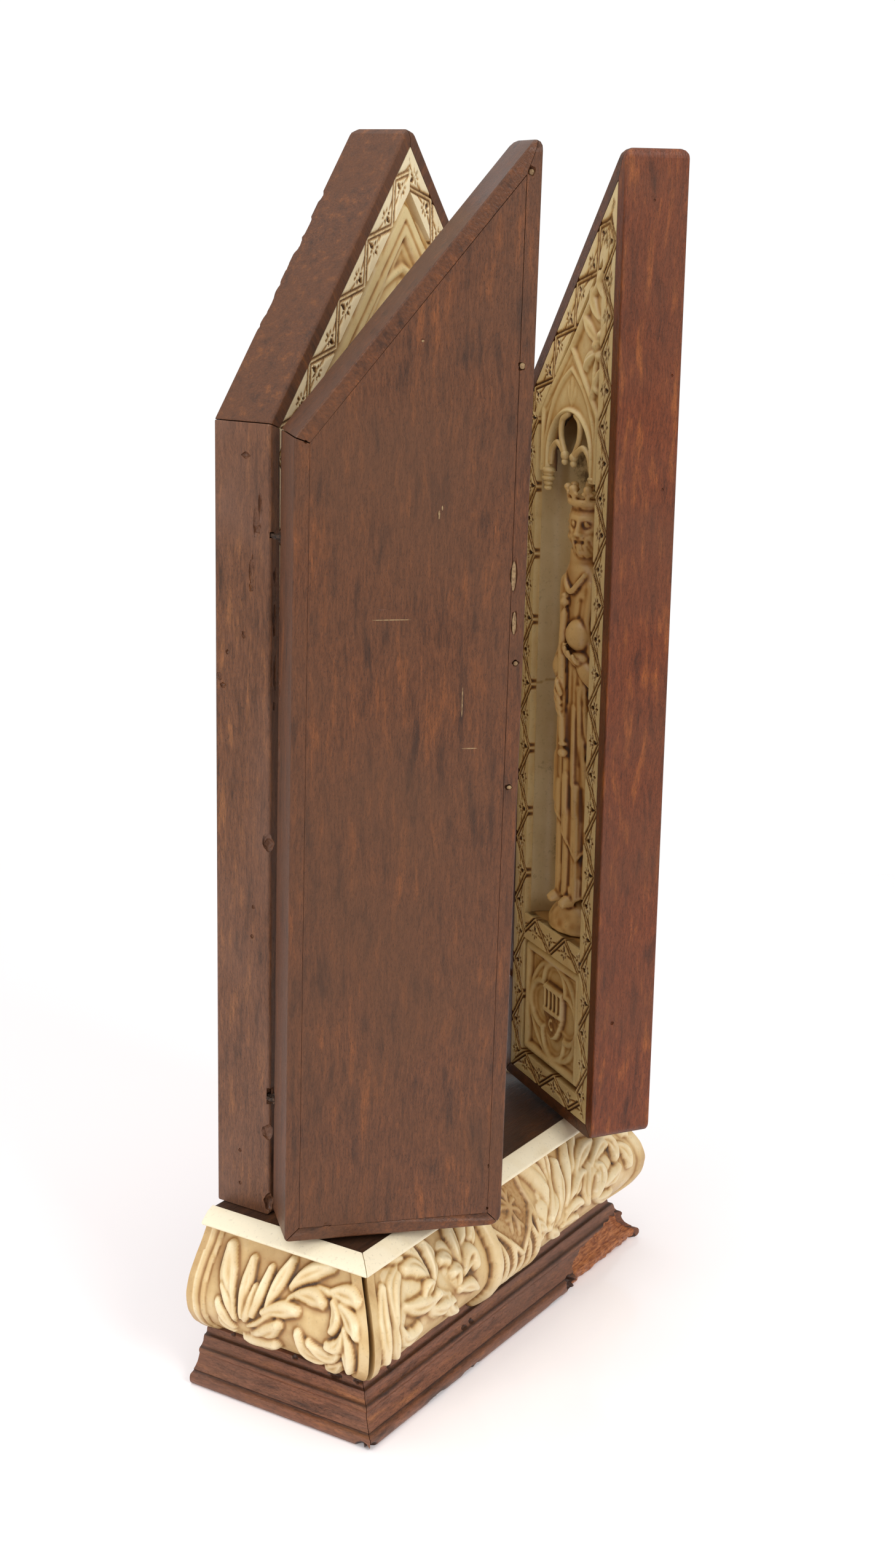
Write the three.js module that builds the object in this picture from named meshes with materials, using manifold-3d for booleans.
// Triptych altarpiece in walnut and carved bone: moulded base, gabled case and two half-gable wings.
// Millimetres, +Z up, front towards -Y, origin at the middle of the base's underside.

import * as THREE from 'three';
import { mergeVertices } from 'three/addons/utils/BufferGeometryUtils.js';
import Module from 'manifold-3d';

const wasm = await Module();
wasm.setup();

// ---- driving dimensions -------------------------------------------------------------------------
const gap = 0.3;              // clearance between touching pieces
const plinthHalf = 101;       // half width of the plinth at its foot
const depthLoss = 20.6;       // half width less depth, the same for every moulding of the base
const baseBack = 40.2;        // y of the flat back of the base
const plinthTop = 19.5;
const friezeBottom = plinthTop + gap;
const friezeTop = 60.5;
const friezeBack = 84;        // half width of the friezes' flat inner faces
const bandInner = 87;
const deckTop = 65.6;
const caseHalf = 81.1;
const caseBack = 42.9;
const caseDepth = 24;
const caseFoot = deckTop + gap;
const caseEaves = 351.1;
const casePeak = 450;
const ridgeBlunt = 3.2;       // half width of the rounded ridge
const board = 5;              // thickness of all case and wing boards
const backBoard = 4;
const boneStrip = 4.5;        // thickness of the border strips
const borderWidth = 9.6;
const traceryDepth = 2;       // how far the tracery lies behind the borders' faces
const traceryThick = 3.4;
const nicheThick = 1.8;
const nicheDepth = 17.4;      // from the borders' faces to the bottom of the niche
const shelfLow = 133;
const shelfHigh = 143.5;
const panelLow = 84.4;        // quatrefoil panels stand between here and the shelf
const wingFoot = 68.7;
const wingWidth = 78.6;
const wingThick = 25.8;
const wingEaves = 349.9;
const wingPeak = 447.2;
const hingeGap = 2.6;         // between the case front and a closed wing
const leftOpen = 43.9;        // degrees that each wing stands open
const rightOpen = 56.3;
const leftLean = 0.55;        // the left wing and its hinge line lean forwards
const rightLean = 0.7;        // the right wing leans inwards, more than its hinge line
const rightHingeLean = 0.3;
const eyeHeights = { upper: 314, lower: 112 };
const eyeRing = 2.0;          // mean radius of a wire eye
const eyeWire = 0.7;          // radius of its wire
const caseFront = caseBack - caseDepth;

// ---- materials ----------------------------------------------------------------------------------
const finish = (color, roughness, metalness = 0) =>
  new THREE.MeshStandardMaterial({ color, roughness, metalness });
const walnut = finish('#6b4530', 0.5);
const darkWalnut = finish('#4a3226', 0.55);
const redWalnut = finish('#7d4a30', 0.45);
const bone = finish('#e6d2a8', 0.4);
const boneShade = finish('#cdb082', 0.45);
const iron = finish('#45403d', 0.6, 0.8);

// ---- solids -------------------------------------------------------------------------------------
function bareGeometry(geometry) {
  const bare = geometry.clone();
  bare.deleteAttribute('normal');
  bare.deleteAttribute('uv');
  return bare;
}

function solid(geometry) {
  const merged = mergeVertices(bareGeometry(geometry), 1e-4);
  return new wasm.Manifold(new wasm.Mesh({
    numProp: 3,
    vertProperties: Float32Array.from(merged.attributes.position.array),
    triVerts: Uint32Array.from(merged.index.array),
  }));
}

function geometryOf(body) {
  const mesh = body.getMesh();
  const geometry = new THREE.BufferGeometry();
  geometry.setAttribute('position', new THREE.BufferAttribute(mesh.vertProperties, 3));
  geometry.setIndex(new THREE.BufferAttribute(mesh.triVerts, 1));
  geometry.computeVertexNormals();
  return geometry;
}

const join = (...parts) => geometryOf(parts.map(solid).reduce((a, b) => a.add(b)));
const cut = (body, ...tools) => geometryOf(tools.map(solid).reduce((a, b) => a.subtract(b), solid(body)));
const common = (a, b) => geometryOf(solid(a).intersect(solid(b)));

function signedVolume(points, faces) {
  let sum = 0;
  for (const [a, b, c] of faces) sum += points[a].dot(new THREE.Vector3().crossVectors(points[b], points[c]));
  return sum / 6;
}

function meshOf(points, faces) {
  const outward = signedVolume(points, faces) > 0 ? faces : faces.map(([a, b, c]) => [a, c, b]);
  const geometry = new THREE.BufferGeometry().setFromPoints(points);
  geometry.setIndex(outward.flat());
  geometry.computeVertexNormals();
  return geometry;
}

// triangles that close one flat-ish loop of points
function capFaces(loop, first) {
  const normal = new THREE.Vector3();
  loop.forEach((p, i) => normal.add(new THREE.Vector3().crossVectors(p, loop[(i + 1) % loop.length])));
  normal.normalize();
  const across = new THREE.Vector3(0, 0, 1).cross(normal);
  if (across.length() < 0.3) across.set(1, 0, 0).cross(normal);
  across.normalize();
  const along = new THREE.Vector3().crossVectors(normal, across);
  const flat = loop.map((p) => new THREE.Vector2(p.dot(across), p.dot(along)));
  return THREE.ShapeUtils.triangulateShape(flat, []).map((f) => f.map((i) => i + first));
}

// skin over a row of loops with equal point counts, closed by caps or into a ring
function loft(loops, ring = false) {
  const count = loops[0].length;
  const faces = [];
  const steps = ring ? loops.length : loops.length - 1;
  for (let k = 0; k < steps; k++) {
    const next = (k + 1) % loops.length;
    for (let i = 0; i < count; i++) {
      const j = (i + 1) % count;
      const [a, b, c, d] = [k * count + i, k * count + j, next * count + j, next * count + i];
      faces.push([a, b, c], [a, c, d]);
    }
  }
  if (!ring) {
    const last = (loops.length - 1) * count;
    faces.push(...capFaces(loops[0], 0).map(([a, b, c]) => [a, c, b]));
    faces.push(...capFaces(loops[loops.length - 1], last));
  }
  return meshOf(loops.flat(), faces);
}

// prism over an outline in (x, z), from y = near to y = far
function slab(outline, near, far) {
  const loops = [near, far].map((y) => outline.map(([x, z]) => new THREE.Vector3(x, y, z)));
  return loft(loops);
}

const block = (x0, x1, y0, y1, z0, z1) => slab([[x0, z0], [x1, z0], [x1, z1], [x0, z1]], y0, y1);

// round bar along points in a plane y = const; side is the number of flats
function bar(path, radius, y, flats = 6, ring = false) {
  const loops = path.map(([x, z], i) => {
    const before = path[ring ? (i + path.length - 1) % path.length : Math.max(i - 1, 0)];
    const after = path[ring ? (i + 1) % path.length : Math.min(i + 1, path.length - 1)];
    const run = new THREE.Vector2(after[0] - before[0], after[1] - before[1]).normalize();
    return Array.from({ length: flats }, (_, k) => {
      const turn = (2 * Math.PI * (k + 0.5)) / flats;
      const out = radius * Math.cos(turn);
      return new THREE.Vector3(x - run.y * out, y + radius * Math.sin(turn), z + run.x * out);
    });
  });
  return loft(loops, ring);
}

const arc = (cx, cz, radius, from, to, steps) =>
  Array.from({ length: steps + 1 }, (_, i) => {
    const turn = THREE.MathUtils.degToRad(from + ((to - from) * i) / steps);
    return [cx + radius * Math.cos(turn), cz + radius * Math.sin(turn)];
  });

function ball(x, y, z, rx, ry = rx, rz = rx, detail = 0) {
  const geometry = new THREE.IcosahedronGeometry(1, detail);
  geometry.scale(rx, ry, rz);
  return geometry.translate(x, y, z);
}

function bead(x, y, z, radius) {
  const geometry = new THREE.OctahedronGeometry(radius);
  return geometry.rotateY(Math.PI / 4).translate(x, y, z);
}

// sharp-edged loss, bitten out of a piece
function chip(x, y, z, rx, ry, rz, turn) {
  const geometry = new THREE.IcosahedronGeometry(1, 0);
  geometry.rotateY(turn);
  geometry.scale(rx, ry, rz);
  return geometry.translate(x, y, z);
}

// mirrored copy across x = 0, with its faces turned back outwards
function mirrored(geometry) {
  const copy = geometry.clone();
  copy.scale(-1, 1, 1);
  const order = copy.index.array;
  for (let i = 0; i < order.length; i += 3) [order[i + 1], order[i + 2]] = [order[i + 2], order[i + 1]];
  copy.computeVertexNormals();
  return copy;
}

const altarpiece = new THREE.Group();

function piece(name, geometry, material, parent = altarpiece) {
  const mesh = new THREE.Mesh(geometry, material);
  mesh.name = name;
  parent.add(mesh);
  return mesh;
}

// ---- base ---------------------------------------------------------------------------------------
// Mouldings are profiles of [half width, height]; the front's distance follows from the half width.
const frontOf = (half) => baseBack - (half - depthLoss);

function sideMoulding(profile) {
  const inset = gap / 2;
  const loops = [
    profile.map(([half, z]) => new THREE.Vector3(-half, baseBack, z)),
    profile.map(([half, z]) => new THREE.Vector3(-half, frontOf(half) + inset, z)),
  ];
  return loft(loops);
}

function frontMoulding(profile) {
  const end = (side) => profile.map(([half, z]) =>
    new THREE.Vector3(side * (half - gap / 2), frontOf(half), z));
  return loft([end(-1), end(1)]);
}

const plinthProfile = [
  [86, 0], [99.8, 0], [101, 1.4], [101, 3.4], [98.8, 4.5], [99.2, 5], [97.3, 7.2], [95.8, 9.6],
  [95, 11.6], [94.6, 12.6], [92.8, 15.8], [91.2, 16.6], [90.8, 17.8], [89.5, plinthTop], [86, plinthTop],
];
const plinthSide = sideMoulding(plinthProfile);
const brokenEnd = slab([[52, -1], [104, -1], [104, 9.5], [92, 11.5], [58, 7.5]], frontOf(103), frontOf(97.6));
const plinthFront = cut(
  frontMoulding(plinthProfile),
  brokenEnd,
  chip(-57, frontOf(101), 0.3, 7, 2.2, 1.8, 0.4),
  chip(-40, frontOf(101), 0.2, 4, 2.4, 1.4, 1.1),
  chip(33, frontOf(101), 1.2, 6, 3.2, 3.4, 0.7),
  chip(-100, frontOf(101), 1, 3, 3, 3.2, 0.2),
);
piece('plinth_front', plinthFront, darkWalnut);
piece('plinth_left', cut(plinthSide, chip(-101, frontOf(96), 1.2, 3.4, 3, 3.4, 0.9)), darkWalnut);
piece('plinth_right', mirrored(plinthSide), darkWalnut);

const bottomInner = 86 - gap;
piece('base_bottom_board',
  block(-bottomInner, bottomInner, frontOf(bottomInner), baseBack - 6 - gap, 0, 8), walnut);
piece('base_back_board',
  block(-friezeBack + gap, friezeBack - gap, baseBack - 6, baseBack, 0, friezeTop), darkWalnut);

// frieze: swelling ground, a fillet at each end and leaf sprays standing proud of the ground
const swell = [
  [88.2, friezeTop], [91.6, 54.8], [95.8, 49.6], [99.6, 43.6], [101.3, 37.4], [100.4, 31], [97.2, 26],
  [93, 22.4], [89.4, friezeBottom],
];
const filletRise = 1.8;
const filletRun = 4.2;
const leafRise = 3.2;
const leafRoot = 1.6;         // how deep a leaf is sunk into the ground

// One spray, as lobes [root along, root height, tip along, tip height, half width].
const sprayLobes = [
  [23, 31, 16, 58, 4.4], [25, 33, 27, 54, 3.0], [20, 31, 12, 42, 3.0], [23, 29, 36, 36, 3.2],
  [26, 34, 46, 51, 3.0], [38, 47, 44, 58, 3.0], [48, 52, 62, 59, 3.4], [58, 56, 71, 51, 3.6],
  [63, 50, 70, 31, 3.6], [60, 31, 48, 33, 3.0],
];
const frontExtras = [[40, 37, 30, 50, 3.6], [36, 31, 20, 35, 3.0]];
const sprayShift = 19;        // where the front's two sprays begin, either side of the shield
const shieldOutline = [
  [-18, 57], [8, 57], [8, 40], [4, 31], [-4, 24.5], [-6, 24], [-9, 25], [-15, 31], [-18, 40],
];

function swellAt(z) {
  const k = swell.findIndex(([, level], i) => i > 0 && level <= z);
  const [upper, lower] = [swell[k - 1], swell[k]];
  const half = THREE.MathUtils.mapLinear(z, lower[1], upper[1], lower[0], upper[0]);
  const out = new THREE.Vector2(upper[1] - lower[1], lower[0] - upper[0]).normalize();
  return { half, out };
}

const frontPoint = (x, half, z) => new THREE.Vector3(x, frontOf(half), z);
const sidePoint = (along, half, z) => new THREE.Vector3(-half, baseBack - along, z);

function onSwell(place, along, z, rise) {
  const { half, out } = swellAt(z);
  return place(along, half + out.x * rise, z + out.y * rise);
}

// a leaf lobe that follows the swell
function leafLobe(place, [x0, z0, x1, z1, halfWidth]) {
  const run = new THREE.Vector2(x1 - x0, z1 - z0);
  const reach = run.length() / 2 + halfWidth * 0.3;
  run.normalize();
  const seed = mergeVertices(bareGeometry(new THREE.OctahedronGeometry(1)), 1e-4);
  const spots = seed.attributes.position;
  const points = [];
  for (let i = 0; i < spots.count; i++) {
    const along = spots.getX(i) * reach;
    const across = spots.getY(i) * halfWidth * (1 + 0.25 * spots.getX(i));
    const x = (x0 + x1) / 2 + run.x * along - run.y * across;
    const z = THREE.MathUtils.clamp((z0 + z1) / 2 + run.y * along + run.x * across, 20.2, 60);
    const rise = spots.getZ(i) * (spots.getZ(i) > 0 ? leafRise : leafRoot);
    points.push(onSwell(place, x, z, rise));
  }
  const order = seed.index.array;
  const faces = Array.from({ length: order.length / 3 }, (_, i) => [...order.slice(3 * i, 3 * i + 3)]);
  return meshOf(points, faces);
}

function plate(profile, place, from, to) {
  const inner = [[friezeBack, friezeBottom], [friezeBack, friezeTop]];
  return loft([from, to].map((end) => [...profile, ...inner].map(([half, z]) => place(end(half), half, z))));
}

const raised = swell.map(([half, z]) => [half + filletRise, z]);
const mitreAt = (side) => (half) => side * (half - gap / 2);
const nearMitre = (side) => (half) => side * (half - gap / 2 - filletRun);
const backEnd = (along) => () => along;
const sideMitre = (back) => (half) => half - depthLoss - gap / 2 - back;

const sideLobe = ([x0, z0, x1, z1, half], side, shift) =>
  [side * (x0 + shift), z0, side * (x1 + shift), z1, half];
const shieldLoop = (rise) => shieldOutline.map(([x, z]) => onSwell(frontPoint, x, z, rise));
const shield = loft([shieldLoop(-1), shieldLoop(leafRise)]);
const friezeFront = join(
  plate(swell, frontPoint, mitreAt(-1), mitreAt(1)),
  plate(raised, frontPoint, mitreAt(-1), nearMitre(-1)),
  plate(raised, frontPoint, nearMitre(1), mitreAt(1)),
  shield,
  ...[-1, 1].flatMap((side) => [
    ...sprayLobes.map((lobe) => leafLobe(frontPoint, sideLobe(lobe, side, sprayShift))),
    ...frontExtras.map((lobe) => leafLobe(frontPoint, sideLobe(lobe, side, 0))),
  ]),
);
const friezeSide = join(
  plate(swell, sidePoint, backEnd(0), sideMitre(0)),
  plate(raised, sidePoint, backEnd(0), backEnd(filletRun)),
  plate(raised, sidePoint, sideMitre(filletRun), sideMitre(0)),
  ...sprayLobes.map((lobe) => leafLobe(sidePoint, lobe)),
);
piece('frieze_front', friezeFront, bone);
piece('frieze_left', friezeSide, bone);
piece('frieze_right', mirrored(friezeSide), bone);

const bandProfile = [
  [bandInner, friezeTop + gap], [93.2, friezeTop + gap], [94, 61.6], [93.7, 62.4], [90.1, 65.4],
  [87.4, 66.4], [bandInner, 66.4],
];
piece('band_front', frontMoulding(bandProfile), bone);
piece('band_left', sideMoulding(bandProfile), bone);
piece('band_right', mirrored(sideMoulding(bandProfile)), bone);
const deckHalf = bandInner - gap;
piece('deck_board',
  block(-deckHalf, deckHalf, frontOf(deckHalf), baseBack, friezeTop + gap, deckTop), darkWalnut);

// ---- boards set on edge round an outline ---------------------------------------------------------
function inward(outline, by) {
  return outline.map((p, i) => {
    const before = outline[(i + outline.length - 1) % outline.length];
    const after = outline[(i + 1) % outline.length];
    const first = new THREE.Vector2(p[0] - before[0], p[1] - before[1]).normalize();
    const second = new THREE.Vector2(after[0] - p[0], after[1] - p[1]).normalize();
    const normal = new THREE.Vector2(-first.y - second.y, first.x + second.x);
    const scale = by / (0.5 * normal.lengthSq());
    return [p[0] + normal.x * scale, p[1] + normal.y * scale];
  });
}

// board along edge i of an outline that runs anticlockwise, its mitres kept a little short
function edgeBoard(outline, thickness, i, near, far, open = [false, false]) {
  const inner = inward(outline, thickness);
  const j = (i + 1) % outline.length;
  const run = new THREE.Vector2(outline[j][0] - outline[i][0], outline[j][1] - outline[i][1]).normalize();
  const shift = (p, by) => [p[0] + run.x * by, p[1] + run.y * by];
  const [a, b] = open.map((isOpen) => (isOpen ? 0 : gap / 2 / 0.7));
  const corners = [shift(outline[i], a), shift(outline[j], -b), shift(inner[j], -b), shift(inner[i], a)];
  return slab(corners, near, far);
}

// ---- wire eyes ----------------------------------------------------------------------------------
// A case eye lies flat round the hinge line; a wing eye stands upright through it. Both are drawn
// with the hinge line at the origin and the shank along +x, then turned towards the wood they grip.
const eyeReach = 1.5;         // how far a shank runs past the point it aims at
const eyeClear = 0.4;
const eyeRelief = eyeRing + eyeWire + eyeClear;
const hingeY = caseFront - hingeGap / 2;

function ringEye() {
  return loft(Array.from({ length: 8 }, (_, i) => {
    const turn = (2 * Math.PI * (i + 0.5)) / 8;
    return Array.from({ length: 4 }, (_, k) => {
      const roll = (Math.PI * k) / 2;
      const out = eyeRing + eyeWire * Math.cos(roll);
      return new THREE.Vector3(out * Math.cos(turn), out * Math.sin(turn), eyeWire * Math.sin(roll));
    });
  }), true);
}

const rod = (from, to, half) => block(from, to, -half, half, -half, half);
const disc = (radius, half) =>
  new THREE.CylinderGeometry(radius, radius, 2 * half, 10).rotateX(Math.PI / 2);

// places drawn geometry at a level, from the hinge line's place towards the aim
function aimed(geometry, from, aim, z) {
  const turn = Math.atan2(aim[1] - from[1], aim[0] - from[0]);
  return geometry.clone().rotateZ(turn).translate(from[0], from[1], z);
}

const reachOf = (from, aim) => Math.hypot(aim[0] - from[0], aim[1] - from[1]) + eyeReach;

function flatEye(from, aim, z) {
  const eye = join(ringEye(), rod(eyeRing, reachOf(from, aim), eyeWire * 0.85));
  return aimed(eye, from, aim, z);
}

function uprightEye(from, aim, z) {
  const ring = ringEye().rotateX(Math.PI / 2).translate(eyeRing, 0, 0);
  const eye = join(ring, rod(2 * eyeRing, reachOf(from, aim), eyeWire * 0.85));
  return aimed(eye, from, aim, z);
}

// hollows in the case corner and in the stile that free the eyes through the whole swing
const caseHollows = (from, aim, z) => [
  aimed(disc(eyeRelief, eyeRelief), from, aim, z),
  aimed(rod(0, reachOf(from, aim) + eyeClear, eyeWire + 0.3), from, aim, z),
];
const stileHollows = (from, aim, z) => [
  aimed(disc(eyeRelief, eyeWire + eyeClear), from, aim, z),
  aimed(block(-eyeWire - eyeClear, 2 * eyeRing + eyeWire + eyeClear, -eyeWire - eyeClear, eyeWire + eyeClear,
    -eyeRelief, eyeRelief), from, aim, z),
  aimed(rod(0, reachOf(from, aim) + eyeClear, eyeWire + 0.3), from, aim, z),
];

// where the hinge line passes at a level, mirrored so that both sides are drawn as the right one
function hingeLine(side, z) {
  const rise = z - wingFoot;
  if (side < 0) return [caseHalf, hingeY - rise * Math.tan(THREE.MathUtils.degToRad(leftLean))];
  return [caseHalf - rise * Math.tan(THREE.MathUtils.degToRad(rightHingeLean)), hingeY];
}

const caseAim = [caseHalf - board / 2, caseFront + 4.5];

// ---- case ---------------------------------------------------------------------------------------
const gablePitch = (casePeak - caseEaves) / caseHalf;
const ridgeLow = casePeak - ridgeBlunt * gablePitch;
const caseOutline = [
  [caseHalf, caseFoot], [caseHalf, caseEaves], [ridgeBlunt, ridgeLow], [0, ridgeLow + 1.6],
  [-ridgeBlunt, ridgeLow], [-caseHalf, caseEaves], [-caseHalf, caseFoot],
];
const gableOutline = [
  [caseHalf, caseFoot], [caseHalf, caseEaves], [0, casePeak], [-caseHalf, caseEaves], [-caseHalf, caseFoot],
];
const caseInside = inward(gableOutline, board);
caseInside[0][1] = caseFoot;
caseInside[4][1] = caseFoot;

const mitre = gap / 2 / 0.7;
function caseSide() {
  const [outX, inX] = [caseHalf, caseInside[0][0]];
  const cutLow = caseInside[1][1];
  const outline = [[inX, caseFoot], [outX, caseFoot], [outX, caseEaves - mitre], [inX, cutLow - mitre]];
  return slab(outline, caseFront, caseBack);
}

function caseSlope() {
  const ridgeInside = caseInside[2][1];
  const drop = 0.2 * gablePitch;
  const outline = [
    [caseHalf - mitre * 0.6, caseEaves + mitre * 0.7], [ridgeBlunt, ridgeLow],
    [gap / 2, ridgeLow + 1.6], [gap / 2, ridgeInside - drop],
    [caseInside[1][0] - mitre * 0.6, caseInside[1][1] + mitre * 0.7],
  ];
  return slab(outline, caseFront, caseBack);
}

function boredSide(side) {
  const levels = Object.values(eyeHeights);
  return cut(caseSide(), ...levels.flatMap((z) => caseHollows(hingeLine(side, z), caseAim, z)));
}

const sideLosses = [
  chip(caseHalf, caseFront + 1, 207, 1.6, 2.8, 3.6, 0.3),
  chip(caseHalf, caseFront + 0.5, 98, 2.2, 3.6, 3.4, 0.8),
  chip(caseHalf, caseFront, 71, 1.8, 2.6, 4, 0.5),
  chip(caseHalf, caseFront + 6, 318, 1, 1.5, 6.5, 0.2),
  chip(caseHalf, caseFront + 8, 301, 1, 1.3, 5, 0.6),
];
piece('case_side_right', boredSide(1), walnut);
piece('case_side_left', mirrored(cut(boredSide(-1), ...sideLosses)), walnut);
piece('case_slope_right', caseSlope(), walnut);
const slopeLosses = [
  chip(23, caseBack, 424.5, 2.6, 3.4, 2.6, 0.4), chip(30, caseBack, 414, 7, 1.8, 6, 0.7),
  chip(52, caseBack, 388, 8, 1.6, 8, 0.2),
];
piece('case_slope_left', mirrored(cut(caseSlope(), ...slopeLosses)), walnut);
const backOutline = inward(caseInside, gap);
backOutline[0][1] = caseFoot;
backOutline[4][1] = caseFoot;
piece('case_back_board', slab(backOutline, caseBack - backBoard, caseBack), walnut);

for (const [level, z] of Object.entries(eyeHeights)) {
  piece(`case_eye_${level}_right`, flatEye(hingeLine(1, z), caseAim, z), iron);
  piece(`case_eye_${level}_left`, mirrored(flatEye(hingeLine(-1, z), caseAim, z)), iron);
}

// ---- carvings shared by the centre and the wings -------------------------------------------------
// A bay is a field of carving: x from left to right, y into the bay, z up.
function archPath(cx, spring, radius, foot, steps) {
  return [[cx - radius, foot], ...arc(cx, spring, radius, 180, 0, steps), [cx + radius, foot]];
}

// pointed arch of two arcs struck beyond the centre
function pointedPath(cx, spring, half, peak, steps) {
  const rise = peak - spring;
  const radius = (half * half + rise * rise) / (2 * half);
  const top = THREE.MathUtils.radToDeg(Math.atan2(rise, radius - half));
  const left = arc(cx - half + radius, spring, radius, 180, 180 - top, steps);
  const right = arc(cx + half - radius, spring, radius, top, 0, steps);
  return [...left, ...right.slice(1)];
}

function capital(x, y, z, half) {
  const drum = new THREE.CylinderGeometry(half, half * 0.7, 4.6, 6).rotateX(Math.PI / 2);
  return join(drum.translate(x, y, z - 2), bead(x, y, z - 5.5, half));
}

// pierced plate with gable, pointed and round arches, cusps ending in balls, and corner capitals
function tracery({ left, right, top, spring, radius, foot, gablePeak, gableFoot, scale, leaves }) {
  const cx = (left + right) / 2;
  const face = traceryDepth;
  const back = traceryDepth + traceryThick;
  const opening = archPath(cx, spring, radius, foot, 6);
  const ground = slab([[left, foot], ...opening, [right, foot], ...top], face, back);
  const side = 2.6 * scale;
  const gableRoll = bar([
    [left + side, foot], [left + side, gableFoot], [cx, gablePeak], [right - side, gableFoot],
    [right - side, foot],
  ], 1.25 * scale, face, 4);
  const pointed = bar(
    pointedPath(cx, spring, radius + 2.4 * scale, gablePeak - 8.5 * scale, 3), 1.0 * scale, face, 4);
  const round = bar(archPath(cx, spring, radius, foot, 6), 1.5 * scale, face, 4);
  // trefoil: a middle lobe, two side lobes and ball-ended cusps between them
  const crown = bar(arc(cx, spring + 0.42 * radius, 0.54 * radius, -42, 222, 6), 1.3 * scale, face + 0.8, 4);
  const cusps = [-1, 1].flatMap((s) => {
    const lobe = arc(cx + s * 0.7 * radius, spring + 0.02 * radius, 0.31 * radius, 180, 0, 3);
    const tip = [cx + s * 0.4 * radius, spring + 0.05 * radius];
    return [bar(lobe, 1.2 * scale, face + 0.8, 4), bead(tip[0], face + 0.6, tip[1], 2.2 * scale)];
  });
  const caps = [left + 4.6 * scale, right - 4.6 * scale]
    .map((x) => capital(x, face + 1.2, foot + 1.2, 3.9 * scale));
  const foliage = leaves.map(([x, z, size]) => bead(x, face, z, size));
  return common(
    join(ground, gableRoll, pointed, round, crown, ...cusps, ...caps, ...foliage),
    slab([[left, foot - 12], [right, foot - 12], ...top], 0, back + 4),
  );
}

// hollow half-round back of a bay, closed above by a sloping hood
function niche(left, right, foot, topOutline) {
  const cx = (left + right) / 2;
  const half = (right - left) / 2;
  const start = traceryDepth + traceryThick + 2 * gap;
  const curve = (reach, deep) => Array.from({ length: 13 }, (_, i) => {
    const turn = Math.PI * (i / 12);
    return [cx - reach * Math.cos(turn), start + (deep - start) * Math.sin(turn) ** 0.8];
  });
  const plan = [...curve(half - nicheThick, nicheDepth), ...curve(half, nicheDepth + nicheThick).reverse()];
  const height = Math.max(...topOutline.map((p) => p[1]));
  const loops = [foot, height].map((z) => plan.map(([x, y]) => new THREE.Vector3(x, y, z)));
  return common(loft(loops), slab([[left, foot], [right, foot], ...topOutline], 0, 30));
}

// slab with a strip of border carving on its front edge, which the figure stands on
function shelf(left, right) {
  return join(
    block(left, right, 0, boneStrip, shelfLow, shelfHigh),
    block(left, right, boneStrip - 0.5, nicheDepth + nicheThick, shelfHigh - 2.4, shelfHigh),
  );
}

// square panel with a roll frame, circle, quatrefoil and shield
function quatrefoilPanel(left, right, centres) {
  const [low, high] = [panelLow, shelfLow - gap];
  const face = 2.2;
  const ground = block(left, right, face, face + 3, low, high);
  const frame = bar([[left + 2.2, low + 2.2], [right - 2.2, low + 2.2], [right - 2.2, high - 2.2],
    [left + 2.2, high - 2.2]], 2.0, face, 6, true);
  const midZ = (low + high) / 2;
  const roundels = centres.flatMap((cx) => {
    const circle = bar(arc(cx, midZ, 20, 0, 324, 9), 1.3, face, 4, true);
    const foil = bar([0, 90, 180, 270].flatMap((at) => arc(
      cx + 8.2 * Math.cos(THREE.MathUtils.degToRad(at)), midZ + 8.2 * Math.sin(THREE.MathUtils.degToRad(at)),
      9.4, at - 84, at + 84, 3)), 1.3, face, 4, true);
    const arms = slab([[cx - 7.5, midZ + 10], [cx - 7.5, midZ - 1], [cx - 4.5, midZ - 8], [cx, midZ - 11.5],
      [cx + 4.5, midZ - 8], [cx + 7.5, midZ - 1], [cx + 7.5, midZ + 10]], face - 2, face + 1);
    const fess = block(cx - 7.5, cx + 7.5, face - 2.6, face, midZ - 1.8, midZ + 0.2);
    return [circle, foil, arms, fess];
  });
  return join(ground, frame, ...roundels);
}

// ---- figures ------------------------------------------------------------------------------------
// Levels of a robe: [height, half width, half depth]; folds are ripples that deepen downwards.
function robe(cx, cy, levels, folds, rippleAt) {
  const around = 12;
  const loops = levels.map(([z, halfWidth, halfDepth]) => Array.from({ length: around }, (_, i) => {
    const turn = (2 * Math.PI * i) / around;
    const ripple = 1 + rippleAt(z) * Math.cos(folds * turn);
    return new THREE.Vector3(
      cx + halfWidth * ripple * Math.cos(turn), cy + halfDepth * ripple * Math.sin(turn), z);
  }));
  return loft(loops);
}

function limb(path, radius) {
  const loops = path.map(([x, y, z], i) => {
    const before = path[Math.max(i - 1, 0)];
    const after = path[Math.min(i + 1, path.length - 1)];
    const run = new THREE.Vector3(...after).sub(new THREE.Vector3(...before)).normalize();
    const across = new THREE.Vector3(0, 1, 0).cross(run).normalize();
    const up = new THREE.Vector3().crossVectors(run, across);
    return Array.from({ length: 6 }, (_, k) => {
      const turn = (Math.PI * k) / 3;
      return new THREE.Vector3(x, y, z)
        .addScaledVector(across, radius * Math.cos(turn)).addScaledVector(up, radius * Math.sin(turn));
    });
  });
  return loft(loops);
}

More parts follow.
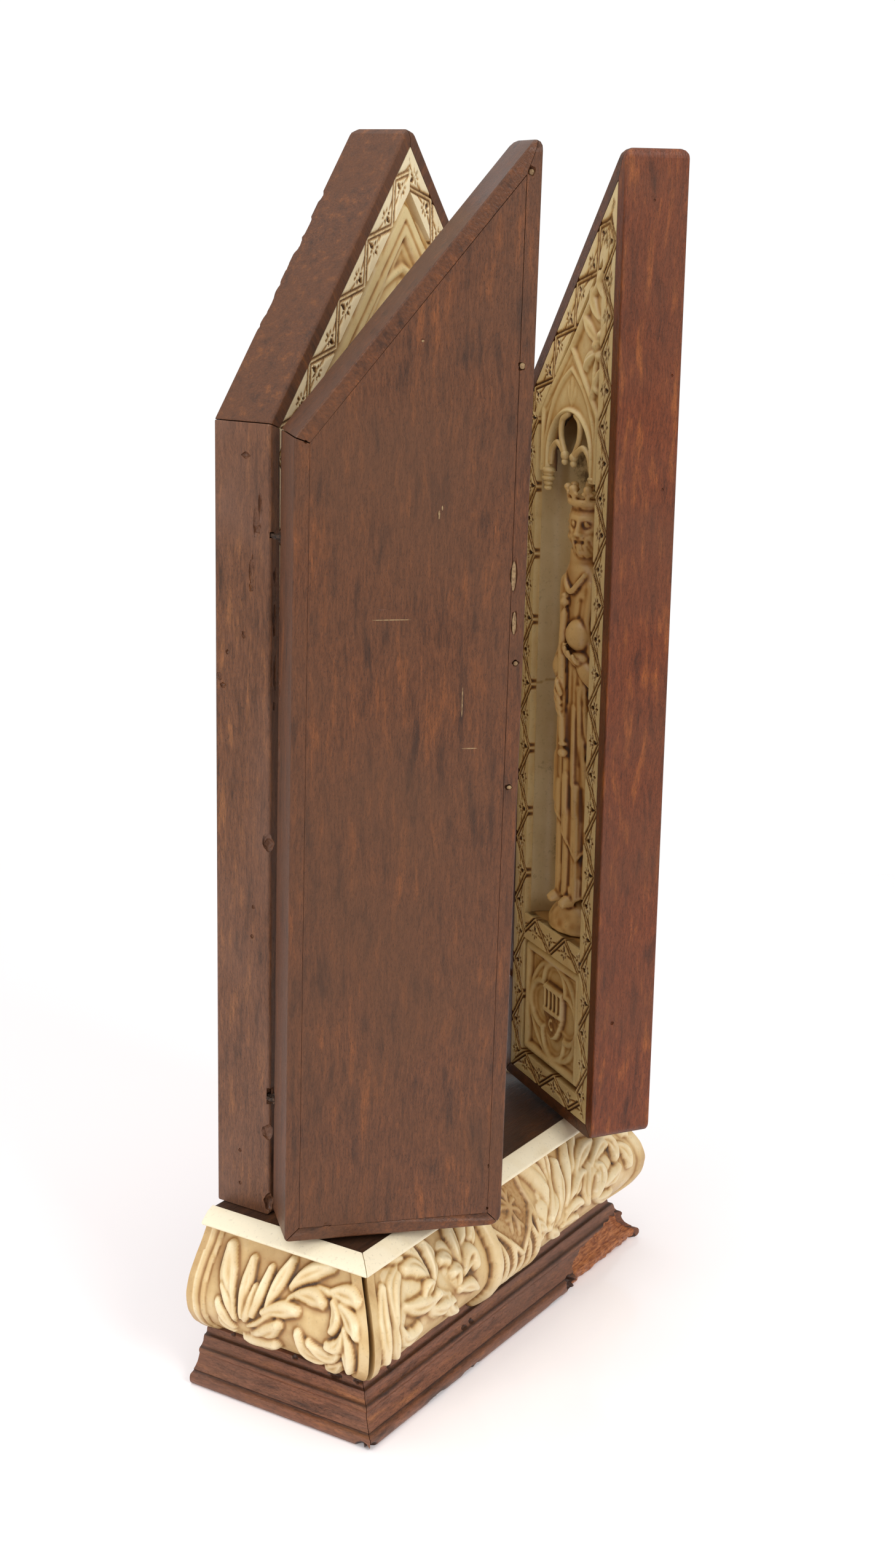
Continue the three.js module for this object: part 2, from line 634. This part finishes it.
// standing robed figure; size 1 is 178 mm from the shelf to the crown's points
function figure({ cx, cy, foot, size, isKing }) {
  const at = (h) => foot + h * size;
  const levels = [[14, 12.4, 7.4], [40, 12.6, 7.2], [66, 13.2, 7], [84, 12.6, 6.6], [104, 12.4, 6.4],
    [120, 14.6, 6.6], [136, 15.2, 6.2], [145, 12, 5.2], [150, 5, 3.8]]
    .map(([h, w, d]) => [at(h), w * size, d * size]);
  const ripple = (z) => THREE.MathUtils.mapLinear(z, at(150), at(14), 0, 0.09);
  const body = robe(cx, cy, levels, 5, ripple);
  const rock = robe(cx, cy, [[at(0.4), 11 * size, 7.6 * size], [at(6), 12 * size, 8 * size],
    [at(15), 9.5 * size, 6.4 * size]], 3, () => 0.05);
  const head = ball(cx, cy - 1.2 * size, at(158), 7.2 * size, 7.4 * size, 10.6 * size, 1);
  const neck = limb([[cx, cy, at(144)], [cx, cy - 0.5, at(152)]], 4.2 * size);
  const beard = ball(cx, cy - 5.4 * size, at(150), 4.8 * size, 3.2 * size, 5 * size);
  const parts = [body, rock, neck, head];
  const front = cy - 7 * size;
  const sleeve = (s, hand) => limb([
    [cx + s * 12 * size, cy - 1, at(138)], [cx + s * 14.5 * size, cy - 2, at(118)],
    [cx + s * 11 * size, front + 1, hand + 3], [cx + s * 6 * size, front, hand]], 3.4 * size);
  parts.push(sleeve(-1, at(104)), sleeve(1, at(108)));
  if (isKing) {
    const band = [[at(165), 7 * size, 6.8 * size], [at(171), 8.4 * size, 8 * size]];
    const crown = robe(cx, cy - 1, band, 4, () => 0);
    const points = [30, 90, 150, 210, 270, 330].map((turn) => bead(
      cx + 8 * size * Math.cos(THREE.MathUtils.degToRad(turn)),
      cy - 1 + 7.6 * size * Math.sin(THREE.MathUtils.degToRad(turn)), at(172), 2.2 * size));
    const orb = ball(cx + 10 * size, front - 0.6, at(119), 6.6 * size, 5.6 * size, 6.2 * size);
    const staff = [[cx - 9 * size, front - 0.4, at(70)], [cx - 10 * size, front, at(132)]];
    const sceptre = limb(staff, 1.7 * size);
    parts.push(beard, crown, ...points, orb, sceptre);
  } else {
    parts.push(robe(cx, cy, [[at(150), 10 * size, 6.6 * size], [at(160), 8.8 * size, 8 * size],
      [at(169), 4.6 * size, 5 * size]], 4, () => 0));
  }
  return join(...parts);
}

// ---- centre -------------------------------------------------------------------------------------
const bayOf = (geometry) => geometry.clone().translate(0, caseFront, 0);
const centreFrameOuter = inward(gableOutline, board + gap);
centreFrameOuter[0][1] = wingFoot + board;
centreFrameOuter[4][1] = wingFoot + board;
const centreFrameInner = inward(centreFrameOuter, borderWidth);
const centreFrame = cut(
  slab(centreFrameOuter, 0, boneStrip),
  slab(centreFrameInner, -1, boneStrip + 1),
);
piece('centre_border_frame', bayOf(centreFrame), bone);

const centreHalf = centreFrameInner[0][0] - gap;
const centreTop = inward(centreFrameInner, gap).slice(1, 4).map(([x, z]) => [x, z]);
const centreEaves = centreTop[0][1];
const centreArch = {
  left: -centreHalf, right: centreHalf, top: centreTop, spring: 318, radius: 54, foot: 300,
  gablePeak: 412, gableFoot: 336, scale: 1.5, leaves: [[-52, 352, 5], [52, 352, 5]],
};
piece('centre_tracery', bayOf(tracery(centreArch)), bone);
piece('centre_niche', bayOf(niche(-centreHalf, centreHalf, shelfHigh + gap, centreTop)), boneShade);
piece('centre_shelf', bayOf(shelf(-centreHalf, centreHalf)), bone);
piece('centre_quatrefoil', bayOf(quatrefoilPanel(-centreHalf, centreHalf, [-42, 0, 42])), bone);
const centreFigure = figure({ cx: 0, cy: 8.6, foot: shelfHigh + gap, size: 1, isKing: false });
piece('centre_figure', bayOf(centreFigure), bone);

// ---- wings --------------------------------------------------------------------------------------
// A wing is drawn closed: x from the hinge (0) to the meeting edge, y from its inner face forwards.
const wingOutline = [[0, wingFoot], [wingWidth, wingFoot], [wingWidth, wingPeak], [0, wingEaves]];
const wingInside = inward(wingOutline, board);
const borderOuter = inward(wingOutline, board + gap);
const borderInner = inward(wingOutline, board + borderWidth);
const field = { left: borderInner[0][0] + gap, right: borderInner[1][0] - gap };
const fieldTop = inward(borderInner, gap).slice(2);

function borderStrip(i) {
  const j = (i + 1) % 4;
  const run = new THREE.Vector2(borderOuter[j][0] - borderOuter[i][0], borderOuter[j][1] - borderOuter[i][1])
    .normalize();
  const shift = (p, by) => [p[0] + run.x * by, p[1] + run.y * by];
  return slab([shift(borderOuter[i], mitre), shift(borderOuter[j], -mitre), shift(borderInner[j], -mitre),
    shift(borderInner[i], mitre)], 0, boneStrip);
}

const fieldMid = (field.left + field.right) / 2;
const wingArch = {
  left: field.left, right: field.right, top: fieldTop, spring: 331, radius: 17.6, foot: 325,
  gablePeak: 372, gableFoot: 348, scale: 1,
  leaves: [[49, 379, 3.4], [53, 387, 3.2], [54.5, 377, 2.6], [57, 383, 2.2]],
};
const wingPieces = {
  wing_meeting_stile: [edgeBoard(wingOutline, board, 1, 0, wingThick), redWalnut],
  wing_slope_rail: [edgeBoard(wingOutline, board, 2, 0, wingThick), walnut],
  wing_bottom_rail: [edgeBoard(wingOutline, board, 0, 0, wingThick), darkWalnut],
  wing_panel: [slab(inward(wingInside, gap), wingThick - backBoard, wingThick), walnut],
  border_foot: [borderStrip(0), bone],
  border_meeting: [borderStrip(1), bone],
  border_slope: [borderStrip(2), bone],
  border_hinge: [borderStrip(3), bone],
  tracery: [tracery(wingArch), bone],
  niche: [niche(field.left, field.right, shelfHigh + gap, fieldTop), boneShade],
  shelf_strip: [shelf(field.left, field.right), bone],
  quatrefoil: [quatrefoilPanel(field.left, field.right, [fieldMid]), bone],
};

// where the hinge line passes in a closed wing's own drawing: the right wing leans more than its hinge
function hingeInWing(side, z) {
  if (side < 0) return [0, -hingeGap / 2];
  const off = (z - wingFoot) * Math.tan(THREE.MathUtils.degToRad(rightLean - rightHingeLean));
  const open = THREE.MathUtils.degToRad(rightOpen);
  return [-off * Math.cos(open), -hingeGap / 2 + off * Math.sin(open)];
}

const stileAim = [board / 2, 4.5];

function wing(side, open, isKing) {
  const word = side > 0 ? 'right' : 'left';
  const lean = new THREE.Group();
  lean.position.set(side * caseHalf, hingeY, wingFoot);
  if (side > 0) lean.rotation.y = -THREE.MathUtils.degToRad(rightLean);
  else lean.rotation.x = THREE.MathUtils.degToRad(leftLean);
  const leaf = new THREE.Group();
  leaf.rotation.z = side * THREE.MathUtils.degToRad(open);
  lean.add(leaf);
  altarpiece.add(lean);
  // drawing -> closed wing: the meeting edge lies towards the middle, the outer face forwards
  const settle = (geometry) => {
    const turned = geometry.clone().rotateZ(Math.PI).translate(0, -hingeGap / 2, -wingFoot);
    return side > 0 ? turned : mirrored(turned);
  };
  const levels = Object.entries(eyeHeights);
  const hollows = levels.flatMap(([, z]) => stileHollows(hingeInWing(side, z), stileAim, z));
  const pieces = {
    ...wingPieces,
    wing_hinge_stile: [cut(edgeBoard(wingOutline, board, 3, 0, wingThick), ...hollows), walnut],
    figure: [figure({ cx: fieldMid, cy: 8.6, foot: shelfHigh + gap, size: 1, isKing }), bone],
  };
  for (const [name, [geometry, material]] of Object.entries(pieces)) {
    piece(`${word}_${name}`, settle(geometry), material, leaf);
  }
  for (const [level, z] of levels) {
    piece(`wing_eye_${level}_${word}`, settle(uprightEye(hingeInWing(side, z), stileAim, z)), iron, leaf);
  }
}

wing(-1, leftOpen, false);
wing(1, rightOpen, true);

export default altarpiece;
